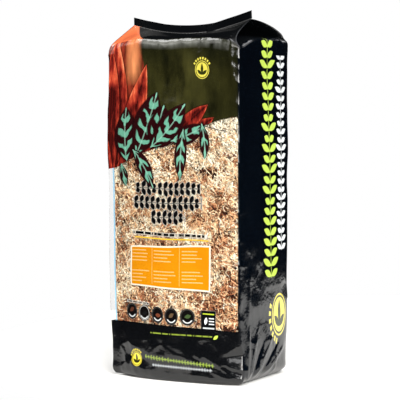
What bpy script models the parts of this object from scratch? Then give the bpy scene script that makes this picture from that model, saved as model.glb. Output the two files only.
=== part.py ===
"""A tall side-gusset film bag of dried sphagnum moss, standing upright.

Lengths are in metres and +Z is up. The printed front faces -Y, and the origin
is at the middle of the base. The film tube is folded to a gable at the top,
like a milk carton: the front and back roof panels run full width up to one
upright heat seal, and each side panel tucks in between them to a point. A
clear window film is fixed inside the front and round its left edge, and the
compressed moss fills the bag.
"""

import math

import bmesh
import bpy
from mathutils import Vector

# Driving dimensions of the bag.
BASE_WIDTH = 0.157
SHOULDER_WIDTH = 0.153
BAG_DEPTH = 0.122
SHOULDER_HEIGHT = 0.381
FOOT_RADIUS = 0.008
EDGE_RADIUS = 0.005
FRONT_BULGE = 0.0045
SIDE_BULGE = 0.0085

# The upright heat seal along the ridge, its two ears and its sag between them.
RIDGE_Y = -0.019
EAR_HALF_WIDTH = 0.0745
LEFT_EAR_TOP = 0.415
RIGHT_EAR_TOP = 0.420
RIDGE_SAG = 0.0125
SEAL_HEIGHT = 0.009
SEAL_THICKNESS = 0.0011

# Films and the clearance between neighbours.
FILM = 0.0004
WINDOW_FILM = 0.0002
CLEARANCE = 0.0003
ROOF_LAYERS = 1.5 * FILM
SEAM_WIDTH = 0.012

# The window, measured on the front. It wraps round the left edge.
WINDOW_RIGHT = 0.0735
WINDOW_LOW = 0.0615
WINDOW_HIGH_RIGHT = 0.305
WINDOW_HIGH_LEFT = 0.242
WINDOW_WRAP = 0.022
WINDOW_LAP = 0.006

# The compressed moss is rounder than the bag at its upright edges.
MOSS_EDGE_RADIUS = 0.010
MOSS_INSET = FILM + WINDOW_FILM + 3 * CLEARANCE

# How finely the curved panels are divided.
WIDE_STEPS = 14
DEEP_STEPS = 10
BODY_STEPS = 12
FOOT_STEPS = 3
ROOF_STEPS = (0.12, 0.3, 0.5, 0.72, 0.96)
CUT_PAST = 0.012


def mix(start, end, share):
    return start + (end - start) * share


def clear_scene():
    for item in list(bpy.data.objects):
        bpy.data.objects.remove(item, do_unlink=True)


def make_material(name, color, roughness, metallic=0.0, alpha=1.0):
    material = bpy.data.materials.new(name)
    material.use_nodes = True
    shader = material.node_tree.nodes["Principled BSDF"]
    shader.inputs["Base Color"].default_value = (*color, 1.0)
    shader.inputs["Roughness"].default_value = roughness
    shader.inputs["Metallic"].default_value = metallic
    shader.inputs["Alpha"].default_value = alpha
    return material


def make_object(name, mesh_builder, material=None):
    """An object whose mesh is the closed surface that mesh_builder fills in."""
    mesh = bpy.data.meshes.new(name)
    surface = bmesh.new()
    mesh_builder(surface)
    bmesh.ops.recalc_face_normals(surface, faces=surface.faces)
    surface.to_mesh(mesh)
    surface.free()
    made = bpy.data.objects.new(name, mesh)
    bpy.context.scene.collection.objects.link(made)
    if material:
        mesh.materials.append(material)
    return made


def ridge_top(x):
    """Height of the sealed ridge at this place along it."""
    along = x / EAR_HALF_WIDTH
    straight = mix(LEFT_EAR_TOP, RIGHT_EAR_TOP, 0.5 + 0.5 * along)
    return straight - RIDGE_SAG * (1.0 - along * along)


def roof_edge(climb):
    """Half the roof's width at this share of the way from shoulder to seal."""
    return mix(SHOULDER_WIDTH / 2, EAR_HALF_WIDTH, climb)


def roof_height(x, climb):
    """Height of the front and back roof panels, which share one rule."""
    ridge_x = x / roof_edge(climb) * EAR_HALF_WIDTH
    return mix(SHOULDER_HEIGHT, ridge_top(ridge_x) - SEAL_HEIGHT, climb)


def panel_points(start, end, bulge, radius, steps):
    """Plan points of one panel from corner to corner, bowed outwards in the middle."""
    run = end - start
    outward = Vector((run.y, -run.x)).normalized()
    margin = min(radius / run.length, 0.45)
    points = []
    for step in range(steps + 1):
        share = mix(margin, 1.0 - margin, step / steps)
        bow = bulge * math.sin(math.pi * share)
        points.append(start + run * share + outward * bow)
    return points


def plan_ring(corners, bulges, radius):
    """Plan points once round the bag, from the front left edge, anticlockwise."""
    middle = sum(corners, Vector((0.0, 0.0))) / 4
    points = []
    for index, corner in enumerate(corners):
        following = corners[(index + 1) % 4]
        steps = WIDE_STEPS if index % 2 == 0 else DEEP_STEPS
        points += panel_points(corner, following, bulges[index % 2], radius, steps)
        inward = (middle - following).normalized()
        points.append(following + inward * radius * 0.42)
    return points


def body_corners(height, inset):
    half_width = mix(BASE_WIDTH, SHOULDER_WIDTH, height / SHOULDER_HEIGHT) / 2 - inset
    half_depth = BAG_DEPTH / 2 - inset
    return [
        Vector((-half_width, -half_depth)),
        Vector((half_width, -half_depth)),
        Vector((half_width, half_depth)),
        Vector((-half_width, half_depth)),
    ]


def body_bulges(height):
    share = min(max(height / SHOULDER_HEIGHT, 0.0), 1.0)
    fullness = math.sin(math.pi * share) ** 0.6 if 0.0 < share < 1.0 else 0.0
    return FRONT_BULGE * fullness, SIDE_BULGE * fullness


def body_ring(height, inset, radius):
    plan = plan_ring(body_corners(height, inset), body_bulges(height), radius)
    return [Vector((point.x, point.y, height)) for point in plan]


def foot_rings(inset, radius):
    """Rings of the rounded lower edge, from the flat base up to the walls."""
    rings = []
    turn = FOOT_RADIUS - inset
    for step in range(FOOT_STEPS + 1):
        angle = math.pi / 2 * step / FOOT_STEPS
        height = FOOT_RADIUS - turn * math.cos(angle)
        wall_inset = FOOT_RADIUS - turn * math.sin(angle)
        corner_radius = radius + wall_inset - inset
        rings.append(body_ring(height, wall_inset, corner_radius))
    return rings


def hip_ring(climb, inset, radius):
    """Ring of the roof under its tucked gussets, which close in from both sides."""
    half_width = roof_edge(climb) - climb * BAG_DEPTH / 2 - inset
    front = mix(-BAG_DEPTH / 2 + inset, RIDGE_Y, climb)
    back = mix(BAG_DEPTH / 2 - inset, RIDGE_Y, climb)
    corners = [
        Vector((-half_width, front)),
        Vector((half_width, front)),
        Vector((half_width, back)),
        Vector((-half_width, back)),
    ]
    plan = plan_ring(corners, (0.0, 0.0), radius * (1.0 - climb))
    drop = inset + ROOF_LAYERS * 0.5
    return [Vector((p.x, p.y, roof_height(p.x, climb) - drop)) for p in plan]


def loft(surface, rings):
    """Joins rings of points into one closed surface, capped at both ends."""
    rows = [[surface.verts.new(point) for point in ring] for ring in rings]
    count = len(rows[0])
    for lower, upper in zip(rows, rows[1:]):
        for index in range(count):
            after = (index + 1) % count
            surface.faces.new((lower[index], lower[after], upper[after], upper[index]))
    surface.faces.new(reversed(rows[0]))
    surface.faces.new(rows[-1])


def filled_form(inset, radius):
    """Builder of the bag's full shape, this far inside its outer face."""
    def build(surface):
        rings = foot_rings(inset, radius)
        for step in range(1, BODY_STEPS):
            height = mix(FOOT_RADIUS, SHOULDER_HEIGHT - inset, step / (BODY_STEPS - 1))
            rings.append(body_ring(height, inset, radius))
        for climb in ROOF_STEPS:
            rings.append(hip_ring(climb, inset, radius))
        loft(surface, rings)
    return build


def slab(surface, outer, inner):
    """Closed solid between two grids of points with the same rows and columns."""
    outer_rows = [[surface.verts.new(point) for point in row] for row in outer]
    inner_rows = [[surface.verts.new(point) for point in row] for row in inner]
    for rows in (outer_rows, inner_rows):
        for low, high in zip(rows, rows[1:]):
            for index in range(len(low) - 1):
                surface.faces.new((low[index], low[index + 1], high[index + 1], high[index]))
    rim = []
    for rows in (outer_rows, inner_rows):
        right_side = [row[-1] for row in rows[1:-1]]
        left_side = [row[0] for row in reversed(rows[1:-1])]
        rim.append(list(rows[0]) + right_side + list(reversed(rows[-1])) + left_side)
    count = len(rim[0])
    for index in range(count):
        after = (index + 1) % count
        surface.faces.new((rim[0][index], rim[0][after], rim[1][after], rim[1][index]))


def roof_panel(side):
    """Builder of one full-width roof panel with the gusset layer folded under it."""
    def build(surface):
        outer = []
        inner = []
        start = side * (BAG_DEPTH / 2 - FILM / 2)
        for climb in (-0.02, *ROOF_STEPS, 1.0):
            row = []
            for step in range(WIDE_STEPS + 1):
                x = roof_edge(climb) * mix(-1.0, 1.0, step / WIDE_STEPS)
                row.append(Vector((x, mix(start, RIDGE_Y, climb), roof_height(x, climb))))
            outer.append(row)
            inner.append([point - Vector((0.0, 0.0, ROOF_LAYERS)) for point in row])
        slab(surface, outer, inner)
    return build


def ridge_seal(surface):
    """The flat upright band where all the layers are welded together."""
    faces = []
    for offset in (-SEAL_THICKNESS / 2, SEAL_THICKNESS / 2):
        low = []
        high = []
        for step in range(WIDE_STEPS + 1):
            x = EAR_HALF_WIDTH * mix(-1.0, 1.0, step / WIDE_STEPS)
            low.append(Vector((x, RIDGE_Y + offset, ridge_top(x) - SEAL_HEIGHT - ROOF_LAYERS)))
            high.append(Vector((x, RIDGE_Y + offset, ridge_top(x))))
        faces.append([low, high])
    slab(surface, faces[0], faces[1])


def back_seam(surface):
    """The lapped seam up the back that closes the film into a tube."""
    outer = []
    inner = []
    for step in range(BODY_STEPS + 1):
        height = mix(2 * FOOT_RADIUS, SHOULDER_HEIGHT - FOOT_RADIUS, step / BODY_STEPS)
        face = BAG_DEPTH / 2 + body_bulges(height)[0]
        side_drop = FRONT_BULGE - FRONT_BULGE * math.cos(math.pi * SEAM_WIDTH / 2 / BASE_WIDTH)
        row_y = face - side_drop + FILM
        ends = (-SEAM_WIDTH / 2, SEAM_WIDTH / 2)
        outer.append([Vector((x, row_y, height)) for x in ends])
        inner.append([Vector((x, row_y - 2.5 * FILM, height)) for x in ends])
    slab(surface, outer, inner)


def window_top(x):
    """Height of the window's slanting upper edge, level round the left side."""
    share = (x + BASE_WIDTH / 2) / (WINDOW_RIGHT + BASE_WIDTH / 2)
    return mix(WINDOW_HIGH_LEFT, WINDOW_HIGH_RIGHT, min(max(share, 0.0), 1.0))


def front_cutter(surface):
    """Prism that opens the front wall over the window."""
    far_left = -BASE_WIDTH / 2 - CUT_PAST
    outline = [
        (far_left, WINDOW_LOW),
        (WINDOW_RIGHT, WINDOW_LOW),
        (WINDOW_RIGHT, window_top(WINDOW_RIGHT)),
        (-BASE_WIDTH / 2, window_top(-BASE_WIDTH / 2)),
        (far_left, window_top(far_left)),
    ]
    near = -BAG_DEPTH / 2 - CUT_PAST
    far = -BAG_DEPTH / 2 + CUT_PAST / 2
    rows = [[surface.verts.new((x, y, z)) for x, z in outline] for y in (near, far)]
    for index in range(len(outline)):
        after = (index + 1) % len(outline)
        surface.faces.new((rows[0][index], rows[0][after], rows[1][after], rows[1][index]))
    surface.faces.new(rows[0])
    surface.faces.new(reversed(rows[1]))


def side_cutter(surface):
    """Block that carries the window round the front left edge."""
    step_in = FILM
    low = Vector((-BASE_WIDTH / 2 - CUT_PAST, -BAG_DEPTH / 2 - CUT_PAST, WINDOW_LOW + step_in))
    high = Vector((
        -SHOULDER_WIDTH / 2 + CUT_PAST / 4,
        -BAG_DEPTH / 2 + WINDOW_WRAP,
        WINDOW_HIGH_LEFT - step_in,
    ))
    made = bmesh.ops.create_cube(surface, size=1.0)
    for vertex in made["verts"]:
        share = vertex.co + Vector((0.5, 0.5, 0.5))
        vertex.co = Vector([mix(low[axis], high[axis], share[axis]) for axis in range(3)])


def side_point(corner, outward, depth, bulge):
    """Plan point on a side panel, this far behind its front corner."""
    bow = bulge * math.sin(math.pi * depth / BAG_DEPTH)
    return Vector((corner.x + outward * bow, corner.y + depth))


def window_path(height, inset):
    """Plan points of the window film, from the right side panel round to the left one."""
    corners = body_corners(height, inset)
    bulges = body_bulges(height)
    ring = plan_ring(corners, bulges, EDGE_RADIUS)
    front = ring[:WIDE_STEPS + 1]
    right_corner = ring[WIDE_STEPS + 1]
    left_corner = ring[-1]
    right_depths = (EDGE_RADIUS + WINDOW_LAP, EDGE_RADIUS)
    right_side = [side_point(corners[1], 1.0, depth, bulges[1]) for depth in right_depths]
    reach = WINDOW_WRAP + WINDOW_LAP
    left_depths = (EDGE_RADIUS, reach / 2, reach)
    left_side = [side_point(corners[0], -1.0, depth, bulges[1]) for depth in left_depths]
    return [*right_side, right_corner, *reversed(front), left_corner, *left_side]


def window_sheet(surface):
    """The clear film, lapped past the opening on every side."""
    front_face = FILM + CLEARANCE
    grids = []
    for inset in (front_face, front_face + WINDOW_FILM):
        rows = []
        for step in range(BODY_STEPS + 1):
            guide = window_path(mix(WINDOW_LOW, WINDOW_HIGH_RIGHT, step / BODY_STEPS), inset)
            row = []
            for index, plan in enumerate(guide):
                low = WINDOW_LOW - WINDOW_LAP
                high = window_top(plan.x) + WINDOW_LAP
                height = mix(low, high, step / BODY_STEPS)
                settled = window_path(height, inset)[index]
                row.append(Vector((settled.x, settled.y, height)))
            rows.append(row)
        grids.append(rows)
    slab(surface, grids[0], grids[1])


def add_boolean(target, helper, operation):
    cut = target.modifiers.new(helper.name, "BOOLEAN")
    cut.operation = operation
    cut.object = helper
    cut.solver = "EXACT"
    helper.hide_render = True
    helper.display_type = "WIRE"


def build_bag_film(material):
    """The printed film tube with its gable, seal and back seam, open at the window."""
    film = make_object("bag_film", filled_form(0.0, EDGE_RADIUS), material)
    add_boolean(film, make_object("guide_roof_front", roof_panel(-1)), "UNION")
    add_boolean(film, make_object("guide_roof_back", roof_panel(1)), "UNION")
    add_boolean(film, make_object("guide_seal", ridge_seal), "UNION")
    add_boolean(film, make_object("guide_seam", back_seam), "UNION")
    add_boolean(film, make_object("cutter_inside", filled_form(FILM, EDGE_RADIUS)), "DIFFERENCE")
    add_boolean(film, make_object("cutter_front", front_cutter), "DIFFERENCE")
    add_boolean(film, make_object("cutter_side", side_cutter), "DIFFERENCE")
    return film


def build_window_film(material):
    return make_object("window_film", window_sheet, material)


def build_moss_fill(material):
    return make_object("moss_fill", filled_form(MOSS_INSET, MOSS_EDGE_RADIUS), material)


def main():
    clear_scene()
    build_bag_film(make_material("printed_black_film", (0.012, 0.013, 0.016), 0.18))
    build_window_film(make_material("clear_film", (0.92, 0.95, 0.96), 0.06, alpha=0.15))
    build_moss_fill(make_material("dried_moss", (0.62, 0.46, 0.27), 0.95))


main()
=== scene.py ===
"""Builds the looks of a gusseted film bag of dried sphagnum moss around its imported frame.

The bag is one printed film tube with a clear window, folded to a gable and welded
along its ridge. Lengths in this file are millimetres unless a name says metres.
"""

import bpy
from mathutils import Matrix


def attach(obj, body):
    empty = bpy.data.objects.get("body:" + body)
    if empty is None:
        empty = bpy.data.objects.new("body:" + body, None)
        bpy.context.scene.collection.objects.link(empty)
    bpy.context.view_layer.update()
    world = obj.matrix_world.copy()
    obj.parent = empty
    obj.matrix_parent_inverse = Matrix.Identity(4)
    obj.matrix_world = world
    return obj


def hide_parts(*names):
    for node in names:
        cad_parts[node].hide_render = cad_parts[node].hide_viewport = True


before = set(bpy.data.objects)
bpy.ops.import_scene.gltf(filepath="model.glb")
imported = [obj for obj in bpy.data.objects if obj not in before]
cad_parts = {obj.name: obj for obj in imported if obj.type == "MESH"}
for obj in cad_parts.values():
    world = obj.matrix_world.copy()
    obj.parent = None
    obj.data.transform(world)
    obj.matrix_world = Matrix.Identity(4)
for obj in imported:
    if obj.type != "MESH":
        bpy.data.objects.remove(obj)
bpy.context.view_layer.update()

import math

import bpy
import numpy as np

bl_info = {
    "name": "Moss bag",
    "version": (1, 0, 0),
    "blender": (4, 5, 0),
    "location": "View3D > Sidebar > Moss bag",
    "description": "A film bag of dried sphagnum moss, with its stage",
    "category": "Add Mesh",
}

MM = 0.001

# Plan of the filled bag.
FRONT_Y = -61.5
BACK_Y = 64.0
NEAR_RIGHT_X = 79.0
REAR_RIGHT_X = 89.8
REAR_LEFT_X = -88.0
# The tip of the pinched fold at the front left corner.
FOLD_TIP_Y = -51.5
# How far the clear film runs round that corner.
WRAP_DEPTH = 22.0
WRAP_STEPS = 11
FRONT_U_LEFT = -88.5
FRONT_U_RIGHT = 77.5
SIDE_WIDTH = 132.0
BACK_WIDTH = 175.0
BACK_SEAM_U = FRONT_U_RIGHT + SIDE_WIDTH + BACK_WIDTH / 2.0
# The base's middle, as a film coordinate.
BASE_V = -70.0

# The window's right edge, and where its lower and upper lines end on the left and the right.
WINDOW_U_RIGHT = 76.2
LOW_V_LEFT = 65.0
LOW_V_RIGHT = 60.7
HIGH_V_LEFT = 242.0
HIGH_V_RIGHT = 306.2

# The gable, its weld and its gussets.
SHOULDER_V = 386.0
ROOF_V = 45.0
RIDGE_Y = -19.0
EAR_X = 75.2
SEAL_HEIGHT = 9.0
# The weld waves from side to side, and leans a little to the front.
SEAL_WAVE = 0.9
SEAL_WAVE_LENGTH = 13.0
SEAL_LEAN = 0.8
GUSSET_REACH = 58.0
# Half the gap between the two layers at the weld, and the gap between folded layers.
WELD_HALF_GAP = 0.35
FOLD_GAP = 0.7
# How far the back of the roof puffs up at its side edges and in its middle.
BACK_PUFF = 5.5
BACK_PUFF_MIDDLE = 4.0

# How finely the film is divided.
FRONT_STEPS = 83
SIDE_STEPS = 66
BACK_STEPS = 80
LOW_ROWS = 32
WINDOW_ROWS = 112
HIGH_ROWS = 54
ROOF_ROWS = 26
SEAL_ROWS = 6
BASE_ROWS = 5
SMOOTHING_ROUNDS = 110


def smooth_step(low, high, value):
    share = np.clip((value - low) / (high - low), 0.0, 1.0)
    return share * share * (3.0 - 2.0 * share)


def mix(start, end, share):
    return start + (end - start) * share


def lattice_noise(u, v, seed):
    """Smooth noise from -1 to 1 over points in the plane, with cells one unit wide."""
    table = np.random.default_rng(seed).uniform(-1.0, 1.0, (256, 256))
    column = np.floor(u).astype(int)
    row = np.floor(v).astype(int)
    share_u = u - column
    share_v = v - row
    share_u = share_u * share_u * (3.0 - 2.0 * share_u)
    share_v = share_v * share_v * (3.0 - 2.0 * share_v)
    corner = [table[(row + j) % 256, (column + i) % 256] for j in (0, 1) for i in (0, 1)]
    low = mix(corner[0], corner[1], share_u)
    high = mix(corner[2], corner[3], share_u)
    return mix(low, high, share_v)


def ridged_noise(u, v, seed):
    """Noise with sharp crests, as crumpled film has, from 0 to 1."""
    return 1.0 - np.abs(lattice_noise(u, v, seed)) * 1.6


# ---------------------------------------------------------------- the film's form


def ridge_top(x):
    """Height of the welded ridge, which sags between its two ears."""
    along = x / EAR_X
    return 405.1 + 0.9 * along + 12.97 * along ** 2 + 1.1 * along ** 3


def window_low(u):
    return mix(LOW_V_LEFT, LOW_V_RIGHT, np.clip((u + 78.0) / 154.0, 0.0, 1.0))


def window_high(u):
    return mix(HIGH_V_LEFT, HIGH_V_RIGHT, np.clip((u + 73.5) / 149.7, 0.0, 1.0))


def film_columns():
    """Side of the bag, share along it and film coordinate of every column, anticlockwise.

    The sides are 0 for the front, 1 for the right, 2 for the back and 3 for the left.
    """
    front = np.append(np.linspace(FRONT_U_LEFT, WINDOW_U_RIGHT, FRONT_STEPS + 1), FRONT_U_RIGHT)
    front_share = (front - FRONT_U_LEFT) / (FRONT_U_RIGHT - FRONT_U_LEFT)
    side_share = np.linspace(0.0, 1.0, SIDE_STEPS + 1)[1:]
    back_share = np.linspace(0.0, 1.0, BACK_STEPS + 1)[1:]
    depth = BACK_Y - FRONT_Y
    rear = np.linspace(0.0, 1.0 - WRAP_DEPTH / depth, SIDE_STEPS - WRAP_STEPS + 1)[1:]
    wrap = np.linspace(1.0 - WRAP_DEPTH / depth, 1.0, WRAP_STEPS + 1)[1:-1]
    left_share = np.concatenate([rear, wrap])
    face = np.concatenate([
        np.full(len(front_share), 0), np.full(len(side_share), 1),
        np.full(len(back_share), 2), np.full(len(left_share), 3),
    ])
    share = np.concatenate([front_share, side_share, back_share, left_share])
    right_u = FRONT_U_RIGHT + side_share * SIDE_WIDTH
    back_u = right_u[-1] + back_share * BACK_WIDTH
    left_u = FRONT_U_LEFT - (1.0 - left_share) * depth
    return face, share, np.concatenate([front, right_u, back_u, left_u])


FACE, SHARE, FILM_U = film_columns()
COLUMNS = len(FACE)
# Columns at the four corners: front left, front right, back right, back left.
CORNER = [0, FRONT_STEPS + 1, FRONT_STEPS + 1 + SIDE_STEPS, FRONT_STEPS + 1 + SIDE_STEPS + BACK_STEPS]
FRONT_CORNER = {1: CORNER[1], 3: CORNER[0]}
BACK_CORNER = {1: CORNER[2], 3: CORNER[3]}


def shoulder_height(face, share):
    """Height of the soft fold between the walls and the roof, at every column."""
    front_u = mix(FRONT_U_LEFT, FRONT_U_RIGHT, share)
    front = np.interp(front_u, [-88, -60, -43, -20, -5, 6, 30, 48, 60, 70, 77.5],
                      [380, 387, 388, 386, 385, 386.5, 387.5, 386, 383.5, 381, 377.5])
    right = np.interp(share, [0.0, 0.06, 0.15, 0.28, 0.5, 0.8, 1.0],
                      [377.5, 379, 385.5, 389.5, 390, 391, 388])
    back = np.full_like(share, 388.0)
    left = np.interp(share, [0.0, 0.2, 0.5, 0.8, 1.0], [388, 391, 391, 388, 380])
    return np.choose(face, [front, right, back, left])


# Plan of the front wall: film coordinate, x and y. Its left end is the pinched corner fold.
FRONT_PLAN = np.array([
    (-88.5, -90.5, -51.5), (-84.0, -86.6, -49.5), (-79.5, -82.6, -47.5), (-76.0, -79.6, -49.0),
    (-70.0, -73.8, -52.3), (-60.0, -63.4, -56.2), (-45.0, -47.2, -60.4), (-30.0, -31.2, -63.2),
    (-13.0, -13.6, -65.2), (5.0, 4.5, -66.0), (30.0, 30.0, -66.3), (55.0, 55.2, -65.6),
    (70.0, 70.6, -63.8), (77.5, 79.0, -61.5),
])
# Plan of the left wall from the back corner to the corner fold: share, x and y.
LEFT_PLAN = np.array([
    (0.0, -88.0, 64.0), (0.3, -91.0, 28.0), (0.6, -91.0, -6.0), (0.8, -88.5, -30.0),
    (0.9, -85.5, -41.5), (0.925, -84.6, -45.0), (1.0, -90.5, -51.5),
])


def wall_plan(face, share, height):
    """Plan of the walls, with sharp corners, at these heights."""
    level = np.clip(height / SHOULDER_V, 0.0, 1.1)
    fullness = np.clip(np.sin(math.pi * np.clip(level, 0.0, 1.0)), 0.0, 1.0) ** 0.6
    # The left wall stands further out at mid height than at the base and the shoulder.
    left_shift = 2.2 * (1.0 - smooth_step(0.0, 0.35, level)) + 1.5 * smooth_step(0.75, 1.0, level)
    left_shift -= 1.8 * smooth_step(0.12, 0.35, level) * (1.0 - smooth_step(0.65, 0.9, level))
    # The near corner spreads at its foot.
    right_shift = 3.6 - 4.2 * smooth_step(0.0, 0.2, level)
    rear_right = REAR_RIGHT_X + 2.2 * smooth_step(0.0, 0.15, level)
    rear_right -= 1.5 * smooth_step(0.8, 0.93, level)
    front_u = mix(FRONT_U_LEFT, FRONT_U_RIGHT, share)
    leftness = 1.0 - share
    front_x = np.interp(front_u, FRONT_PLAN[:, 0], FRONT_PLAN[:, 1])
    front_x = front_x + left_shift * leftness ** 2 + right_shift * share ** 2
    front_y = np.interp(front_u, FRONT_PLAN[:, 0], FRONT_PLAN[:, 2])
    # Towards the shoulder the left of the front is less drawn back.
    straight_y = FRONT_Y - 1.5 - 3.0 * fullness * np.sin(math.pi * share) ** 0.7
    straightness = 0.55 * smooth_step(0.35, 0.95, level)
    front_y = mix(front_y, straight_y, straightness)
    right_x = mix(NEAR_RIGHT_X + right_shift, rear_right, share) + 3.0 * np.sin(math.pi * share) ** 0.8
    right_y = mix(FRONT_Y, BACK_Y, share)
    back_x = mix(rear_right, REAR_LEFT_X, share) + left_shift * share ** 2
    back_y = BACK_Y + (1.0 + 2.5 * fullness) * np.sin(math.pi * share) ** 0.7
    left_x = np.interp(share, LEFT_PLAN[:, 0], LEFT_PLAN[:, 1]) + left_shift
    left_y = np.interp(share, LEFT_PLAN[:, 0], LEFT_PLAN[:, 2])
    corner_y = mix(FOLD_TIP_Y, FRONT_Y - 1.5, straightness)
    left_y = left_y + (corner_y - FOLD_TIP_Y) * share ** 3
    x = np.choose(face, [front_x, right_x, back_x, left_x])
    y = np.choose(face, [front_y, right_y, back_y, left_y])
    return x, y


def roof_points(climb):
    """Points of the roof and its tucked gussets at this share of the way up. Columns by 3."""
    foot_height = shoulder_height(FACE, SHARE)
    x, y = wall_plan(FACE, SHARE, foot_height)
    foot = np.stack([x, y, foot_height], 1)
    points = np.zeros((COLUMNS, 3))
    front = FACE == 0
    back = FACE == 2
    flat = front | back
    ridge_x = np.where(front, mix(-EAR_X, EAR_X, SHARE), mix(EAR_X, -EAR_X, SHARE))
    lean = 0.8 * np.sin(ridge_x / 19.0)
    ridge = np.stack([ridge_x, RIDGE_Y + lean, ridge_top(ridge_x) - SEAL_HEIGHT], 1)
    ridge[:, 1] += np.where(front, -WELD_HALF_GAP, WELD_HALF_GAP) * flat
    puff = math.sin(math.pi * climb)
    back_puff = max(puff, 0.0) ** 0.7
    points[flat] = mix(foot, ridge, climb)[flat]
    # The filled roof puffs up, and its right front edge is pinched in before the ear.
    points[front, 2] += 1.6 * puff * np.sin(math.pi * SHARE[front]) ** 0.5
    inward = np.sin(math.pi * SHARE[back]) ** 0.5
    points[back, 2] += back_puff * mix(BACK_PUFF, BACK_PUFF_MIDDLE, inward)
    pinch = smooth_step(0.86, 1.0, SHARE) * math.sin(math.pi * climb ** 0.8)
    points[front, 0] -= (7.0 * pinch)[front]
    points[front, 1] -= (4.0 * pinch)[front]
    for side, face in ((1.0, 1), (-1.0, 3)):
        here = FACE == face
        # Share from the front corner to the back corner of this side.
        along = SHARE[here] if face == 1 else 1.0 - SHARE[here]
        base = foot[here]
        front_foot = foot[FRONT_CORNER[face]]
        back_foot = foot[BACK_CORNER[face]]
        ear = np.array([side * EAR_X, RIDGE_Y, ridge_top(side * EAR_X) - SEAL_HEIGHT])
        front_edge = points[FRONT_CORNER[face]].copy()
        back_edge = mix(back_foot, ear, climb) + np.array([side * 2.5, 0.0, BACK_PUFF]) * back_puff
        tip_x = side * (EAR_X - GUSSET_REACH)
        tip = np.array([tip_x, RIDGE_Y, ridge_top(tip_x) - SEAL_HEIGHT - 1.0])
        tuck = climb / 2.0
        near_fold = mix(front_foot, tip, climb)
        far_fold = mix(back_foot, tip, climb)
        near_share = np.clip(along / max(tuck, 1e-6), 0.0, 1.0)[:, None]
        far_share = np.clip((1.0 - along) / max(tuck, 1e-6), 0.0, 1.0)[:, None]
        inner = np.clip((along - tuck) / max(1.0 - climb, 1e-6), 0.0, 1.0)
        order = np.argsort(along)
        arch = np.stack([np.interp(inner, along[order], base[order, axis]) for axis in range(3)], 1)
        panel = mix(arch, tip, climb)
        folded_near = mix(front_edge, near_fold, near_share)
        folded_far = mix(back_edge, far_fold, far_share)
        folded_near[:, 2] -= FOLD_GAP * np.minimum(near_share[:, 0] * 4.0, 1.0)
        folded_far[:, 2] -= FOLD_GAP * np.minimum(far_share[:, 0] * 4.0, 1.0)
        chosen = np.where((along < tuck)[:, None], folded_near, panel)
        chosen = np.where((along > 1.0 - tuck)[:, None], folded_far, chosen)
        points[here] = chosen
    return points


def soften(points, across, along, rounds):
    """Rounds the folds of a grid of points. across and along say how much, from 0 to 1."""
    for _ in range(rounds):
        beside = np.roll(points, 1, 1) + np.roll(points, -1, 1) - 2.0 * points
        above = np.zeros_like(points)
        above[1:-1] = points[2:] + points[:-2] - 2.0 * points[1:-1]
        points = points + 0.25 * across[..., None] * beside + 0.25 * along[..., None] * above
    return points


def normals_of(points):
    across = np.roll(points, -1, 1) - np.roll(points, 1, 1)
    along = np.gradient(points, axis=0)
    normal = np.cross(across, along)
    length = np.linalg.norm(normal, axis=2, keepdims=True)
    return normal / np.maximum(length, 1e-9)


def crease(u, v, start, end, height, left_width, right_width):
    """A fold that stands out along a line and falls off by its own width on each side."""
    run = np.subtract(end, start)
    length = math.hypot(*run)
    direction = run / length
    from_start = np.stack([u - start[0], v - start[1]], -1)
    along = from_start @ direction
    across = from_start @ np.array([-direction[1], direction[0]])
    fade = smooth_step(0.0, 0.25, along / length) * smooth_step(0.0, 0.25, 1.0 - along / length)
    return height * fade * np.exp(-np.abs(across) / np.where(across > 0, left_width, right_width))


# Folds of the film: two ends in film coordinates, height, and widths left and right of the line.
CREASES = [
    # Lower front, running down to the near corner.
    ((-34, 49), (88, -4), 1.7, 4.0, 13.0),
    ((30, 36), (90, -4), 1.3, 1.5, 5.0),
    ((4, 9), (74, 3), 1.2, 5.0, 5.0),
    ((-72, 61), (-50, 32), 1.4, 1.4, 4.0),
    ((-62, 24), (-36, 6), 1.0, 3.0, 5.0),
    # Side, low down: a fan from the foot of the near corner.
    ((88, 2), (98, 70), 1.0, 5.0, 1.5),
    ((91, 2), (114, 54), 1.5, 4.0, 1.4),
    ((97, 2), (132, 50), -1.4, 4.0, 1.4),
    ((104, 3), (152, 48), 1.6, 4.0, 1.4),
    ((116, 4), (176, 46), -1.3, 4.0, 1.5),
    ((130, 5), (190, 36), 1.5, 3.5, 1.5),
    ((100, 140), (92, 60), 1.2, 8.0, 2.0),
    # Side, high up.
    ((80, 372), (98, 345), 1.0, 5.0, 2.0),
    ((150, 384), (176, 300), 1.2, 6.0, 2.0),
    ((186, 380), (196, 300), -1.2, 5.0, 2.0),
    # Front by its right edge, high up.
    ((66, 386), (72.5, 332), 1.8, 3.0, 3.0),
    ((70, 348), (74, 296), 0.9, 2.5, 2.5),
    # Under the shoulder fold.
    ((-24, 388), (-8, 374), 0.9, 4.0, 1.4),
    ((2, 388), (22, 375), 1.0, 5.0, 1.4),
    ((30, 387), (44, 372), 0.9, 5.0, 1.4),
    ((-40, 384), (-62, 352), 0.9, 2.0, 6.0),
]


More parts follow.
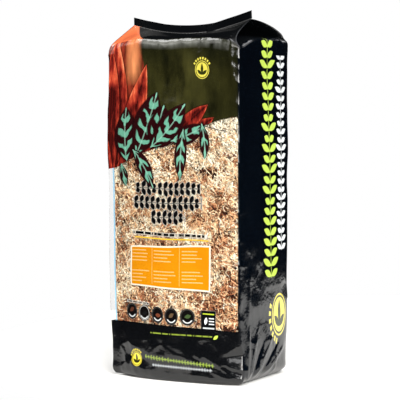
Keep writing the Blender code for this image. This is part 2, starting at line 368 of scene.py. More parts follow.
def film_relief(u, v):
    """How far the film stands out from its smooth form."""
    lumps = 0.9 * lattice_noise(u / 34.0, v / 38.0, 3) + 0.45 * lattice_noise(u / 15.0, v / 17.0, 5)
    crumple = ridged_noise(u / 21.0 + 0.3 * lattice_noise(u / 9, v / 9, 8), v / 30.0, 11) ** 3
    ends = smooth_step(90.0, 10.0, v) * np.where(u > 90.0, 0.55, 1.0) + smooth_step(330.0, 380.0, v)
    edge = np.exp(-np.abs(u - FRONT_U_RIGHT) / 9.0)
    relief = lumps * 0.7 + crumple * (0.25 + 0.7 * ends + 0.5 * edge)
    # The slack film at the front's foot lies in low waves.
    slack = smooth_step(56.0, 30.0, v) * smooth_step(84.0, 70.0, u)
    relief += 0.9 * slack * lattice_noise(u / 27.0, v / 13.0 + u / 60.0, 31)
    for fold in CREASES:
        relief += crease(u, v, *fold)
    # The fold between the front wall and the roof is sharp and a little jagged.
    line = 386.8 + 1.5 * lattice_noise(u / 8.0, 0 * u, 21) + 0.8 * lattice_noise(u / 3.3, 0 * u, 22)
    on_front = smooth_step(-86.0, -74.0, u) * smooth_step(76.0, 70.0, u)
    return relief + 1.1 * np.exp(-np.abs(v - line) / 1.7) * on_front


FIRST_WINDOW_ROW = BASE_ROWS + LOW_ROWS
LAST_WINDOW_ROW = FIRST_WINDOW_ROW + WINDOW_ROWS
SHOULDER_ROW = LAST_WINDOW_ROW + HIGH_ROWS
SEAL_ROW = SHOULDER_ROW + ROOF_ROWS

# A dent across the near corner: film coordinates and the shift of each of its points.
DENT_RIM = [(56.8, 31.3), (83.7, 47.5), (91.5, 39.1), (82.5, 1.6)]
DENT_HEART = (79.0, 36.2)
DENT_SHIFT = np.array([0.6, 3.4, 0.0])


def dent(u, v):
    """Share of the dent's full shift at these film coordinates."""
    share = np.zeros_like(u)
    for place, first in enumerate(DENT_RIM):
        second = DENT_RIM[(place + 1) % len(DENT_RIM)]
        edge = np.array([np.subtract(first, DENT_HEART), np.subtract(second, DENT_HEART)]).T
        inverse = np.linalg.inv(edge)
        away_u = u - DENT_HEART[0]
        away_v = v - DENT_HEART[1]
        first_share = inverse[0, 0] * away_u + inverse[0, 1] * away_v
        second_share = inverse[1, 0] * away_u + inverse[1, 1] * away_v
        inside = (first_share >= 0) & (second_share >= 0)
        share = np.where(inside, np.clip(1.0 - first_share - second_share, 0.0, 1.0), share)
    return share


def near_column(spot, reach):
    """1 at this column, falling off over this many columns on each side."""
    column = np.arange(COLUMNS)
    gap = np.abs(column - spot)
    gap = np.minimum(gap, COLUMNS - gap)
    return np.exp(-(gap / reach) ** 2)


def zone_limits():
    """Film height of the window's lower and upper line at every column."""
    low = np.where(FACE == 2, mix(LOW_V_RIGHT, LOW_V_LEFT, SHARE), window_low(FILM_U))
    high = np.where(FACE == 2, mix(HIGH_V_RIGHT, HIGH_V_LEFT, SHARE), window_high(FILM_U))
    return low, high


ROW_CROWDING = 1.5


def closer(share):
    """Share of the height at this share of the rows, which crowd towards the shoulder."""
    return 1.0 - (1.0 - share) ** ROW_CROWDING


def film_rows():
    """Points and film heights of the walls, the roof and the seal, before any rounding."""
    fold = shoulder_height(FACE, SHARE)
    low, high = zone_limits()
    rows_v = [low * step / LOW_ROWS for step in range(LOW_ROWS)]
    rows_v += [mix(low, high, step / WINDOW_ROWS) for step in range(WINDOW_ROWS)]
    rows_v += [mix(high, SHOULDER_V, closer(step / HIGH_ROWS)) for step in range(HIGH_ROWS)]
    wall_v = np.array(rows_v)
    wall_z = wall_v * fold / SHOULDER_V
    face = np.broadcast_to(FACE, wall_v.shape)
    share = np.broadcast_to(SHARE, wall_v.shape)
    points = [np.stack([*wall_plan(face, share, wall_z), wall_z], 2)]
    # The last row of the roof lies close under the weld, so that the fold there is sharp.
    climbs = np.append(np.linspace(0.0, 0.985, ROOF_ROWS), 1.0)
    points.append(np.array([roof_points(climb) for climb in climbs]))
    top = points[-1][-1]
    seal_shares = [(step / SEAL_ROWS) ** 1.6 for step in range(1, SEAL_ROWS + 1)]
    for share in seal_shares:
        band = top.copy()
        band[:, 2] += SEAL_HEIGHT * share
        band[:, 1] += share * (SEAL_WAVE * np.sin(band[:, 0] / SEAL_WAVE_LENGTH) - SEAL_LEAN)
        points.append(band[None])
    upper_v = [SHOULDER_V + ROOF_V * climb for climb in climbs]
    upper_v += [SHOULDER_V + ROOF_V + SEAL_HEIGHT * share for share in seal_shares]
    grid_v = np.concatenate([wall_v, np.repeat(np.array(upper_v)[:, None], COLUMNS, 1)])
    return np.concatenate(points), grid_v


def tuck_foot(points):
    """Rounds the foot under, most of all along the right side."""
    bow = np.where(FACE == 1, np.sin(math.pi * np.clip(SHARE * 1.05, 0.0, 1.0)) ** 0.5, 0.0)
    inset = 2.8 + 7.5 * bow
    height = 3.5 + 8.0 * bow
    under = np.clip(1.0 - points[..., 2] / height, 0.0, 1.0)
    points[..., :2] *= (1.0 - under ** 1.5 * inset / 85.0)[..., None]


def round_folds(points):
    """Softens the two far corners and the shoulder, and keeps the near corners and the roof sharp."""
    row_index = np.arange(len(points)) + BASE_ROWS
    across = np.maximum(0.22, near_column(CORNER[2], 14))
    across = np.maximum(across, near_column(CORNER[3], 14))
    across = across * (1.0 - 0.97 * near_column(CORNER[1], 5)) * (1.0 - 0.9 * near_column(CORNER[0], 7))
    walls = 1.0 - smooth_step(SHOULDER_ROW - 4, SHOULDER_ROW + 5, row_index)
    across = across[None, :] * (0.06 + 0.94 * walls[:, None])
    along_row = 0.05 + 0.6 * np.exp(-((row_index - SHOULDER_ROW) / 4.0) ** 2)
    along_row = along_row * (row_index < SEAL_ROW - 1)
    along = np.broadcast_to(along_row[:, None], across.shape)
    return soften(points, across, along, SMOOTHING_ROUNDS)


# The flat bottom's rows, as shares of the way out to its rim, and how far each lifts at a corner.
BASE_RINGS = [0.02, 0.3, 0.6, 0.85, 0.97]
BASE_LIFTS = [0.0, 0.0, 0.05, 0.35, 0.8]


def build_form():
    """The film's points and film coordinates, on a grid of rows by columns."""
    points, grid_v = film_rows()
    tuck_foot(points)
    points = round_folds(points)
    middle = points[0].mean(0)
    base = np.array([mix(middle, points[0], ring) for ring in BASE_RINGS])
    base[..., 2] = 0.0
    base_v = np.repeat(BASE_V * (1.0 - np.array(BASE_RINGS))[:, None], COLUMNS, 1)
    points = np.concatenate([base, points])
    grid_v = np.concatenate([base_v, grid_v])
    grid_u = np.broadcast_to(FILM_U, grid_v.shape).copy()

    all_rows = np.arange(len(points))
    hold = smooth_step(0.0, 6.0, grid_v)
    hold = hold * (1.0 - 0.8 * smooth_step(SHOULDER_ROW, SHOULDER_ROW + 6, all_rows))[:, None]
    hold = hold * (1.0 - smooth_step(SEAL_ROW - 6, SEAL_ROW, all_rows))[:, None]
    lap = 0.9 * smooth_step(7.0, 6.0, np.abs(points[..., 0])) * (FACE == 2)[None, :]
    relief = film_relief(grid_u, grid_v) * hold + lap * hold
    points = points + normals_of(points) * relief[..., None]
    points = points + dent(grid_u, grid_v)[..., None] * DENT_SHIFT
    # The bag rests on the middle of its bottom, and its corners stand a little clear.
    lift = 2.4 * near_column(CORNER[0], 22) + 1.8 * near_column(CORNER[1], 12)
    lift = lift + 1.8 * near_column(CORNER[2], 16) + 1.8 * near_column(CORNER[3], 16)
    outer = np.ones(len(points))
    outer[:BASE_ROWS] = BASE_LIFTS
    points[..., 2] += lift[None, :] * outer[:, None] * np.exp(-points[..., 2] / 14.0)
    points[..., 2] = np.maximum(points[..., 2], 0.0)
    return points, grid_u, grid_v


FORM = build_form()


# ---------------------------------------------------------------- meshes


def make_piece(name, vertices, faces, maps, materials, face_material=None):
    """A smooth mesh object from vertices in millimetres, faces of one size and per-corner maps."""
    vertices = np.asarray(vertices, np.float32) * MM
    faces = np.asarray(faces, np.int32)
    size = faces.shape[1]
    mesh = bpy.data.meshes.new(name)
    mesh.vertices.add(len(vertices))
    mesh.vertices.foreach_set("co", vertices.ravel())
    mesh.loops.add(faces.size)
    mesh.loops.foreach_set("vertex_index", faces.ravel())
    mesh.polygons.add(len(faces))
    mesh.polygons.foreach_set("loop_start", np.arange(0, faces.size, size, dtype=np.int32))
    mesh.polygons.foreach_set("loop_total", np.full(len(faces), size, np.int32))
    mesh.update(calc_edges=True)
    for label, values in maps.items():
        layer = mesh.uv_layers.new(name=label)
        layer.data.foreach_set("uv", np.asarray(values, np.float32).ravel())
    for material in materials:
        mesh.materials.append(material)
    if face_material is not None:
        mesh.polygons.foreach_set("material_index", np.asarray(face_material, np.int32))
    mesh.polygons.foreach_set("use_smooth", np.ones(len(faces), bool))
    mesh.validate()
    mesh.update()
    piece = bpy.data.objects.new(name, mesh)
    bpy.context.scene.collection.objects.link(piece)
    return piece


def window_cells(rows, columns):
    """Which cells of the film's grid are clear window."""
    in_rows = (rows >= FIRST_WINDOW_ROW) & (rows < LAST_WINDOW_ROW)
    in_front = columns < FRONT_STEPS
    in_wrap = columns >= COLUMNS - WRAP_STEPS
    return in_rows & (in_front | in_wrap)


def ring_cap(ring, low, high):
    """Quads that close a ring of vertices, facing up, and their strip of the bake map."""
    step = np.arange(len(ring) // 2 - 1)
    quads = np.stack([ring[step], ring[step + 1], ring[-2 - step], ring[-1 - step]], 1)
    left = step / len(step)
    right = (step + 1) / len(step)
    strip = [left, low + 0 * left, right, low + 0 * left, right, high + 0 * left, left, high + 0 * left]
    return quads, np.stack(strip, 1).reshape(-1, 4, 2)


def tube_cells(rows, columns):
    """Corners of these cells of a tube's grid, as vertex numbers and as steps along the grid."""
    after = (columns + 1) % COLUMNS
    corners = np.stack([rows * COLUMNS + columns, rows * COLUMNS + after,
                        (rows + 1) * COLUMNS + after, (rows + 1) * COLUMNS + columns], 1)
    step_u = np.stack([columns, columns + 1, columns + 1, columns], 1)
    step_v = np.stack([rows, rows, rows + 1, rows + 1], 1)
    return corners, np.stack([step_u, step_v], 2).astype(float)


def film_piece(name, keep, materials, pick_material=None):
    """A piece made of the kept cells of the film's grid, with its film map."""
    points, grid_u, grid_v = FORM
    rows, columns = np.indices((len(points) - 1, COLUMNS)).reshape(2, -1)
    kept = keep(rows, columns)
    rows = rows[kept]
    columns = columns[kept]
    corners, steps = tube_cells(rows, columns)
    low = steps.min((0, 1))
    bake_map = 0.01 + 0.98 * ((steps - low) / (steps.max((0, 1)) - low))
    picked = pick_material(rows, columns) if pick_material else None
    if rows.min() == 0:
        cap, cap_map = ring_cap(np.arange(COLUMNS), 0.0, 0.008)
        corners = np.concatenate([corners, cap[:, ::-1]])
        bake_map = np.concatenate([bake_map, cap_map[:, ::-1]])
        picked = np.concatenate([picked, np.zeros(len(cap), int)])
    used, quads = np.unique(corners, return_inverse=True)
    film_map = np.stack([grid_u.ravel()[corners], grid_v.ravel()[corners]], 2)
    maps = {"film": film_map, "OFBake": bake_map}
    quads = quads.reshape(corners.shape)
    return make_piece(name, points.reshape(-1, 3)[used], quads, maps, materials, picked)


# ---------------------------------------------------------------- the moss's form


# How far the moss bows out between the two feet of the empty corner fold.
CORNER_BOW = 1.6 * np.array([-0.75, -0.65, 0.0])


def body_form():
    """The film's form without its empty corner fold, which the moss doesn't fill."""
    points = FORM[0].copy()
    first = COLUMNS - WRAP_STEPS // 2
    last = 5
    start = points[:, first - 1]
    end = points[:, last]
    span = COLUMNS - first + last + 1
    for step in range(1, span):
        share = step / span
        bow = math.sin(math.pi * share) * CORNER_BOW
        points[:, (first - 1 + step) % COLUMNS] = mix(start, end, share) + bow
    return points, normals_of(points)


BODY = body_form()
# Film coordinates of the columns from the left wall's wrap to the right end of the front.
REACH_COLUMNS = np.concatenate([np.arange(COLUMNS - 26, COLUMNS), np.arange(0, CORNER[1] + 1)])
REACH_U = FILM_U[REACH_COLUMNS]


def on_body(u, v, depth):
    """Points this far inside the filled bag's face, at these film coordinates."""
    spot = np.interp(u, REACH_U, np.arange(len(REACH_U)))
    low = window_low(u)
    high = window_high(u)
    row = np.where(v < low, BASE_ROWS + LOW_ROWS * v / low,
                   FIRST_WINDOW_ROW + WINDOW_ROWS * (v - low) / (high - low))
    above = np.clip((v - high) / (SHOULDER_V - high), 0.0, 1.0)
    beyond = LAST_WINDOW_ROW + HIGH_ROWS * (1.0 - (1.0 - above) ** (1.0 / ROW_CROWDING))
    row = np.clip(np.where(v > high, beyond, row), BASE_ROWS, SHOULDER_ROW - 1)
    row_low = np.floor(row).astype(int)
    spot_low = np.minimum(np.floor(spot).astype(int), len(REACH_U) - 2)
    row_share = (row - row_low)[..., None]
    spot_share = (spot - spot_low)[..., None]
    near = REACH_COLUMNS[spot_low]
    far = REACH_COLUMNS[spot_low + 1]
    result = []
    for field in BODY:
        low_row = mix(field[row_low, near], field[row_low, far], spot_share)
        high_row = mix(field[row_low + 1, near], field[row_low + 1, far], spot_share)
        result.append(mix(low_row, high_row, row_share))
    normal = result[1] / np.linalg.norm(result[1], axis=-1, keepdims=True)
    return result[0] - normal * depth[..., None], normal


# Where strands start, as film coordinates, and how sparse the moss is.
START_U = (-110.0, 78.5)
START_V = (60.0, 308.0)
GAP_LEVEL = -0.34


def strand_starts(random, count):
    """Film coordinates of strands behind the window, with gaps where the dark bed shows."""
    u = random.uniform(*START_U, count * 2)
    v = random.uniform(*START_V, count * 2)
    kept = (v < window_high(u) + 3.0) & (v > window_low(u) - 3.0)
    cover = 0.65 * lattice_noise(u / 9.0, v / 8.0, 91) + 0.45 * lattice_noise(u / 4.0, v / 3.6, 92)
    kept &= cover > GAP_LEVEL
    return u[kept][:count], v[kept][:count]


def unit(vectors):
    return vectors / np.maximum(np.linalg.norm(vectors, axis=-1, keepdims=True), 1e-9)


def moss_strands(count, seed, length, girth, shape, curl, depth, tone):
    """Vertices, quads and maps of three-sided moss strands close behind the window.

    length, girth and depth are ranges, shape is the half width's share at each station along a
    strand, curl is the largest bend in radians, and tone is a mean and a spread.
    """
    random = np.random.default_rng(seed)
    u, v = strand_starts(random, count)
    count = len(u)
    stations = len(shape)
    heading = random.uniform(0.0, 2.0 * math.pi, count)
    # The branches lie in loose drifts, so that neighbours run partly alike.
    heading = heading * 0.55 + 2.6 * lattice_noise(u / 26.0, v / 26.0, seed + 1)
    long = random.uniform(*length, count)
    bend = random.uniform(-curl, curl, count)
    deep = depth[0] + (depth[1] - depth[0]) * random.uniform(0.0, 1.0, count) ** 1.3
    dip = random.uniform(-1.3, 1.3, count)
    share = np.linspace(-0.5, 0.5, stations)
    turn = heading[:, None] + bend[:, None] * share
    reach = long[:, None] * share
    path_depth = deep[:, None] + dip[:, None] * share * 2.0 + 0.5 * np.abs(share) * bend[:, None]
    points, normal = on_body(
        u[:, None] + reach * np.cos(turn), v[:, None] + reach * np.sin(turn),
        np.maximum(path_depth, depth[0]))
    sideways = unit(np.cross(normal, unit(np.gradient(points, axis=1))))
    wide = random.uniform(*girth, count)[:, None] * np.asarray(shape)[None, :]
    twist = random.uniform(0.0, 2.0 * math.pi, count)[:, None] + 1.1 * np.arange(stations)[None, :]
    rings = []
    for corner in range(3):
        angle = twist + corner * 2.0 * math.pi / 3.0
        offset = sideways * (wide * np.cos(angle))[..., None]
        # The strands are a little flattened against the film.
        offset = offset + normal * (0.55 * wide * np.sin(angle))[..., None]
        rings.append(points + offset)
    # Corners of one strand's quads, as corner and station.
    places = np.array([
        [(corner, station), (corner + 1, station), (corner + 1, station + 1), (corner, station + 1)]
        for station in range(stations - 1) for corner in range(3)])
    quads = places[..., 1] * 3 + places[..., 0] % 3
    faces = (np.arange(count)[:, None, None] * stations * 3 + quads[None]).reshape(-1, 4)
    patch = 0.65 * lattice_noise(u / 17.0, v / 15.0, 77) + 0.5 * lattice_noise(u / 7.5, v / 6.5, 78)
    # Painted light and shade: deeper strands are painted darker, and strands higher up paler.
    sunk = (deep - depth[0]) / max(depth[1] - depth[0], 1e-6)
    paler = 0.085 * (v - 165.0) / 100.0
    shade = tone[0] + paler + tone[1] * random.normal(0.0, 1.0, count) + 0.5 * patch - 0.26 * sunk
    shade = np.broadcast_to(np.clip(shade, 0.0, 1.0)[:, None, None], (count, *quads.shape))
    colour_map = np.stack([shade, np.broadcast_to(places[..., 1], shade.shape)], 3)
    # Every strand has its own cell in the bake map.
    across = math.ceil(math.sqrt(count))
    strand = np.arange(count)
    cell = np.stack([strand % across, strand // across], 1)[:, None, None, :]
    bake_map = (cell + 0.06 + 0.88 * places[None] / np.array([3.0, stations - 1.0])) / across
    maps = {"strand": colour_map.reshape(-1, 4, 2), "OFBake": bake_map.reshape(-1, 4, 2)}
    return np.stack(rings, 2).reshape(-1, 3), faces, maps


# ---------------------------------------------------------------- materials


def linear(code):
    """Linear colour of an sRGB hex code."""
    parts = [int(code[i:i + 2], 16) / 255.0 for i in (0, 2, 4)]
    return (*[p / 12.92 if p <= 0.04045 else ((p + 0.055) / 1.055) ** 2.4 for p in parts], 1.0)


def add(tree, kind, *inputs, out=0, named=None, stops=(), **settings):
    """Adds a node, applies its settings, fills its shown inputs in order and returns an output.

    named fills inputs by name, and stops gives a colour ramp its positions and colours.
    """
    node = tree.nodes.new("ShaderNode" + kind)
    for number, (position, colour) in enumerate(stops):
        # A new ramp already has two stops.
        elements = node.color_ramp.elements
        stop = elements[number] if number < 2 else elements.new(position)
        stop.position = position
        stop.color = linear(colour) if isinstance(colour, str) else colour
    for name, value in settings.items():
        setattr(node, name, value)
    shown = [socket for socket in node.inputs if socket.enabled]
    by_name = [(node.inputs[name], value) for name, value in (named or {}).items()]
    for socket, value in [*zip(shown, inputs), *by_name]:
        if isinstance(value, Value):
            value = value.socket
        if isinstance(value, str):
            value = linear(value)
        if isinstance(value, bpy.types.NodeSocket):
            tree.links.new(value, socket)
        elif value is not None:
            socket.default_value = value
    outputs = [socket for socket in node.outputs if socket.enabled]
    return node.outputs[out] if isinstance(out, str) else outputs[out]


class Value:
    """A number at each shaded point. Sums with it add Math nodes."""

    def __init__(self, tree, socket):
        self.tree = tree
        self.socket = socket

    def math(self, operation, *others, **settings):
        return Value(self.tree, add(self.tree, "Math", self, *others, operation=operation, **settings))

    def __add__(self, other):
        return self.math("ADD", other)

    def __sub__(self, other):
        return self.math("SUBTRACT", other)

    def __rsub__(self, other):
        return self.math("MULTIPLY_ADD", -1.0, other)

    def __mul__(self, other):
        return self.math("MULTIPLY", other)

    def __truediv__(self, other):
        return self.math("DIVIDE", other)

    def __abs__(self):
        return self.math("ABSOLUTE")

    def least(self, other):
        return self.math("MINIMUM", other)

    def most(self, other):
        return self.math("MAXIMUM", other)

    def clamped(self):
        return self.math("MULTIPLY", 1.0, use_clamp=True)

    def inside(self, feather=0.5):
        """1 where this signed distance is below zero, with a soft edge."""
        return self.math("MULTIPLY_ADD", -1.0 / feather, 0.5, use_clamp=True)

    __radd__ = __add__
    __rmul__ = __mul__


def new_material(name):
    material = bpy.data.materials.new(name)
    material.use_nodes = True
    material.node_tree.nodes.clear()
    return material, material.node_tree


def finish_material(tree, shader):
    tree.links.new(shader, tree.nodes.new("ShaderNodeOutputMaterial").inputs["Surface"])


def noise(tree, place, size, detail=2.0, roughness=0.5, stretch=(1.0, 1.0)):
    """Noise with features of this size in the place's units, stretched along its two directions."""
    scale = (1.0 / (size * stretch[0]), 1.0 / (size * stretch[1]), 1.0)
    scaled = add(tree, "Mapping", place, named={"Scale": scale})
    return Value(tree, add(tree, "TexNoise", out="Fac", named={
        "Vector": scaled, "Scale": 1.0, "Detail": detail, "Roughness": roughness}))


def paint(tree, under, ink, mask):
    """The colour under, with ink over it where the mask is 1."""
    return add(tree, "Mix", mask, under, ink, data_type="RGBA", clamp_factor=True)


class Print:
    """The inks of one film, laid one over another. u and v are the film coordinates."""

    def __init__(self, tree, ground, clear=False):
        self.tree = tree
        self.place = add(tree, "UVMap", uv_map="film")
        split = add(tree, "SeparateXYZ", self.place).node
        self.u = Value(tree, split.outputs["X"])
        self.v = Value(tree, split.outputs["Y"])
        self.colour = ground
        self.cover = 0.0 if clear else None

    def noise(self, *shape):
        return noise(self.tree, self.place, *shape)

    def lay(self, ink, mask, hides=None):
        """Lays an ink where the mask is 1. hides is how much of a clear film it hides."""
        self.colour = paint(self.tree, self.colour, ink, mask)
        if hides is not None and self.cover is not None:
            self.cover = hides.most(self.cover)


def leaf_shape(u, v, place, angle, length, width, bend=0.0):
    """A pointed leaf: signed distance, shares from base to tip and to the edge, way off the midrib."""
    turn = math.radians(angle)
    away_u = u - place[0]
    away_v = v - place[1]
    share = (away_u * math.cos(turn) + away_v * math.sin(turn)) / length
    off = away_v * math.cos(turn) - away_u * math.sin(turn)
    if bend:
        off = off - share * share * bend
    half = share * (1.0 - share) * (2.0 * width)
    return abs(off) - half, share, abs(off) / half.most(0.01), off


def stepped(u, start, pitch, seed):
    """Share along each step of a row, the step's number and its own random number from 0 to 1."""
    along = (u - start) / pitch
    step = along.math("FLOOR")
    vary = add(u.tree, "TexWhiteNoise", named={"W": step + seed}, noise_dimensions="1D")
    return along - step, step, Value(u.tree, vary)


def garland(u, v, start, end, level, pitch, reach, girth, lean, seed):
    """Signed distance of a level stem with a pair of leaves at every step."""
    along, _, vary = stepped(u, start, pitch, seed)
    here = (along - 0.2) * pitch
    across = abs(v - level)
    share = (here * math.sin(lean) + across * math.cos(lean)) / (vary * (0.5 * reach) + 0.72 * reach)
    off = abs(here * math.cos(lean) - across * math.sin(lean))
    leaf = off - share * (1.0 - share) * (4.0 * girth)
    return leaf.least(across - 0.45).most(start - u).most(u - end)


def dashes(u, v, start, end, level, height, pitch, seed):
    """Signed distance of a row of dashes of uneven length."""
    _, _, vary = stepped(u, start, pitch, seed)
    gap = ((0.2 - vary) * 3.0).least(2.0)
    return (abs(v - level) - 0.5 * height).most(gap).most(start - u).most(u - end)


def box_shape(u, v, left, right, low, high):
    across = abs(u - 0.5 * (left + right)) - 0.5 * (right - left)
    return across.most(abs(v - 0.5 * (low + high)) - 0.5 * (high - low))


def oval_distance(u, v, place, half):
    """Distance from the middle of an oval, in units of its half height."""
    away_u = (u - place[0]) * (half[1] / half[0])
    away_v = v - place[1]
    return (away_u * away_u + away_v * away_v).math("SQRT")


SPRIG_ANGLES = ((90, 1.25), (38, 0.86), (142, 0.86))
SEED_PITCH = 16.0


def sprig_badge(art, place, half, ink, ground, arc):
    """A round badge with a three-leaf sprig, and seeds along this arc of angles over it."""
    tall = half[1]
    away = oval_distance(art.u, art.v, place, half)
    art.lay(ink, (away - tall).inside())
    art.lay(ground, (abs(away - 0.86 * tall) - 0.05 * tall).inside())
    wide_u = (art.u - place[0]) / (half[0] / tall) + place[0]
    for angle, length in SPRIG_ANGLES:
        foot = (place[0], place[1] - 0.55 * tall)
        leaf = leaf_shape(wide_u, art.v, foot, angle, length * tall, 0.36 * tall)[0]
        art.lay(ground, leaf.inside())
    around = (art.v - place[1]).math("ARCTAN2", wide_u - place[0]) + 2.0 * math.pi
    first, last = arc
    turn = around.math("FLOORED_MODULO", 2.0 * math.pi) * (180.0 / math.pi) - first
    bead = abs(turn.math("FLOORED_MODULO", SEED_PITCH) - 0.5 * SEED_PITCH) - 4.6
    seed = (abs(away - 1.26 * tall) - 0.13 * tall).most(bead * (tall * 0.02))
    art.lay(ink, seed.most(-1.0 * turn).most(turn - (last - first)).inside(0.4))


# Broad red blades of a bromeliad: foot, angle, length, width and bend.
BLADES = [
    ((-72, 206), 33, 118, 22, 12), ((-76, 212), 118, 196, 30, 10), ((-72, 208), 47, 96, 24, 8),
    ((-74, 210), 104, 200, 32, 4), ((-66, 212), 66, 92, 24, -4), ((-72, 214), 92, 186, 32, -2),
    ((-70, 212), 79, 150, 28, -6), ((-88, 215), 86, 168, 26, 6), ((-84, 196), 62, 92, 26, 4),
    ((-86, 200), 100, 120, 24, -4), ((-22, 250), 31, 86, 24, 6), ((-62, 222), 20, 84, 20, 8),
    ((-8, 272), 37, 64, 19, 3),
]
BLADE_TONES = ((0.05, "300908"), (0.35, "7E231B"), (0.62, "BE4A30"), (0.95, "ED8C62"))
# Striped prayer-plant leaves, in the same way.
STRIPED = [
    ((-60, 248), 98, 62, 30, -8), ((-48, 254), 66, 78, 34, 6), ((-22, 262), 88, 52, 28, -8),
    ((-30, 264), 40, 66, 30, 10), ((-52, 262), -50, 50, 17, -8), ((-4, 272), 14, 46, 20, 6),
    ((-68, 246), -80, 26, 12, 2), ((12, 286), -100, 58, 15, 6), ((34, 292), -76, 40, 12, -6),
]


def lay_blades(art):
    """Red and orange blades with dark streaks between their veins."""
    u, v = art.u, art.v
    streaks = art.noise(4.0, 3.0, 0.6, (1.0, 5.0))
    blotch = art.noise(19.0, 2.0, 0.55, (1.0, 1.5))
    reach = (u + 37.0 + (v - 340.0) * 0.13).most(200.0 - v).most(u * 0.45 + 258.0 - v)
    ground = paint(art.tree, "220807", "A23C28", (streaks * 1.6 + blotch - 0.95).clamped())
    art.lay(ground, (reach - streaks * 8.0 + 4.0).inside(3.0))
    # The blades' left edge lies in shadow half way up.
    shadow = (1.0 - abs(v - 320.0) / 26.0).clamped() * ((u + 54.0) / -8.0).clamped() * 0.34
    lit = streaks * 1.3 + blotch * 0.9 + ((v - 330.0) * 0.0032).least(0.2) - 0.98 - shadow
    for blade in BLADES:
        leaf, _, side, off = leaf_shape(u, v, *blade)
        veins = (abs(off.math("FLOORED_MODULO", 3.4) - 1.7) - 0.35).inside(0.8)
        tint = add(art.tree, "ValToRGB", (side * 0.5 + lit).clamped(), stops=BLADE_TONES)
        art.lay("1D0605", (leaf - 1.1).inside(1.6) * 0.8)
        art.lay(paint(art.tree, tint, "6E150F", veins * 0.35), leaf.inside())


def lay_striped(art):
    """Mint leaves with dark maroon bands along their side veins."""
    wobble = art.noise(9.0, 1.0)
    for leaf in STRIPED:
        edge, share, side, off = leaf_shape(art.u, art.v, *leaf)
        bands = leaf[2] / 15.0
        wave = (share * bands - side * 0.75 + wobble * 0.9).math("FLOORED_MODULO", 1.0) - 0.5
        band = (0.2 - abs(wave)).inside(0.08)
        rim = (0.66 - side).inside(0.12)
        rib = (abs(off) - 0.7).inside(0.5)
        tint = paint(art.tree, "220709", "5F9B85", (1.0 - band) * (1.0 - rim))
        tint = paint(art.tree, tint, "86B8A4", rib * 0.55)
        art.lay("0B0506", (edge - 0.9).inside(1.2) * 0.75)
        art.lay(tint, edge.inside(), hides=edge.inside())


def film_bumps(art, strength):
    """Fine crinkles of thin film, 3 to 12 mm apart, as a shading normal."""
    coarse = art.noise(11.0, 2.0, 0.5)
    fine = art.noise(3.2, 2.0, 0.5)
    height = abs(coarse - 0.5) * 0.9 + fine * 0.25
    return add(art.tree, "Bump", named={"Height": height, "Strength": strength, "Distance": 0.0006})


def finish_gloss_film(art):
    """Finishes a material as opaque gloss film with this print."""
    haze = art.noise(26.0, 2.0)
    finish_material(art.tree, add(art.tree, "BsdfPrincipled", named={
        "Base Color": art.colour, "Roughness": haze * 0.12 + 0.07, "IOR": 1.5,
        "Normal": film_bumps(art, 0.55),
    }))


# Garlands on the low band: slope, the garland's own numbers, ink and cover.
LOW_GARLANDS = [
    (-0.06, (-39.0, 47.5, 23.6, 3.6, 3.0, 0.7, 0.5, 11.0), "7F9438", 0.85),
    (-0.02, (-29.0, 45.0, 16.4, 3.2, 2.3, 0.6, 0.5, 23.0), "A9AEB2", 0.75),
]


def front_film():
    """Gravure-printed polyethylene: a glossy picture that keeps its colour up to sharp edges."""
    material, tree = new_material("printed polyethylene, front")
    art = Print(tree, "090A04")
    u, v = art.u, art.v
    # Dim, out-of-focus undergrowth.
    soft = art.noise(42.0, 3.0, 0.55, (0.7, 1.5))
    streak = art.noise(7.0, 2.0, 0.5, (1.0, 8.0))
    lit = ((soft - 0.3) * 1.9 + (streak - 0.5) * 0.35).clamped()
    fade = (abs(u - 8.0) / 70.0).clamped()
    art.lay("4A4822", (lit * (1.0 - fade * 0.8)).clamped())
    # Painted shade: the print darkens towards the shoulder.
    art.lay("0F1108", ((v - 352.0) / 30.0).clamped() * 0.7)
    lay_blades(art)
    # A glow of orange light behind the blades.
    glow = (1.0 - abs(u + 52.0) / 11.0).clamped() * ((v - 334.0) / 16.0).clamped()
    art.lay("E8935F", glow * (streak * 1.4 + soft * 1.2 - 0.45).clamped())
    lay_striped(art)
    sprig_badge(art, (34.2, 351.5), (8.6, 10.2), "CABF4C", "262A0E", (28.0, 152.0))
    # Along the hard fold at the shoulder a pale grey sheen is painted, in place of the fold's
    # reflection.
    shoulder_sheen = (1.0 - abs(v - 381.4) / 6.0).clamped() * (streak * 1.4 + soft * 2.4 - 1.35).clamped()
    shoulder_sheen = shoulder_sheen * ((u + 46.0) / 8.0).clamped() * ((66.0 - u) / 8.0).clamped()
    art.lay("7E807C", shoulder_sheen * 0.6)
    # The roof is black but for a red strip by the left ear, and so is the right hem.
    roof = (386.5 - v).inside(1.0)
    strip = (u + 42.0 + (v - 386.0) * 0.86).inside(1.5)
    art.lay("050607", roof * (1.0 - strip))
    art.lay("D06A42", roof * strip * 0.75)
    art.lay("04070C", (75.8 - u).inside(0.8))
    # The low black band, with its rows of small leaves.
    art.lay("07080A", (v - (u * -0.028 + 66.0)).inside(0.5) * (v - 120.0).inside(1.0))
    row = dashes(u, v - u * -0.004, -31.0, 46.0, 53.6, 1.5, 1.5, 3.0)
    art.lay("8FA23C", row.inside(0.4) * 0.65)
    art.lay("A9C44A", leaf_shape(u, v, (47.5, 50.6), 40, 7.5, 3.4)[0].inside())
    for slope, row, ink, cover in LOW_GARLANDS:
        art.lay(ink, garland(u, v - u * slope, *row).inside(0.4) * cover)
    sprig_badge(art, (-50.3, 21.7), (6.8, 8.6), "CDBE3C", "24230E", (40.0, 170.0))
    finish_gloss_film(art)
    return material


